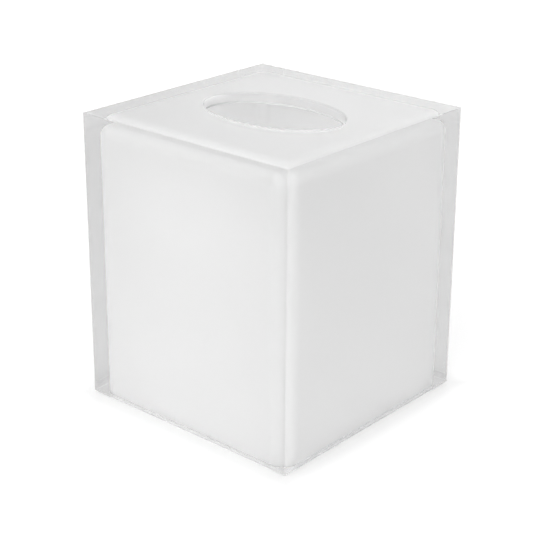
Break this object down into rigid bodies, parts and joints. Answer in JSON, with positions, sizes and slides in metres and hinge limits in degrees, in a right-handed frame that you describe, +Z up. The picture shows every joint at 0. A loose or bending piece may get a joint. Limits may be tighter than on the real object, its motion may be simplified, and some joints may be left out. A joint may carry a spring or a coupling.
{
  "type": "tissue box cover",
  "caption": "Square cover for an upright tissue carton: a clear acrylic block cast over a white liner with rounded edges, open underneath, with an oval slot in the top.",
  "frame": {"origin": "centre of the footprint, on the surface that the cover stands on", "axes": "+Z up; X along the oval slot's long axis, so -Y and +Y are the faces beside the slot's long sides"},
  "size_m": [0.1334, 0.1334, 0.1534],
  "materials": {
    "clear_acrylic": "clear cast acrylic, polished",
    "white_acrylic": "opal white acrylic, satin inside",
    "clear_vinyl": "soft clear vinyl"
  },
  "bodies": {
    "root": {"clear_block": "clear_acrylic", "white_liner": "white_acrylic", "bumper_front_left": "clear_vinyl", "bumper_front_right": "clear_vinyl", "bumper_back_right": "clear_vinyl", "bumper_back_left": "clear_vinyl"}
  },
  "joints": []
}
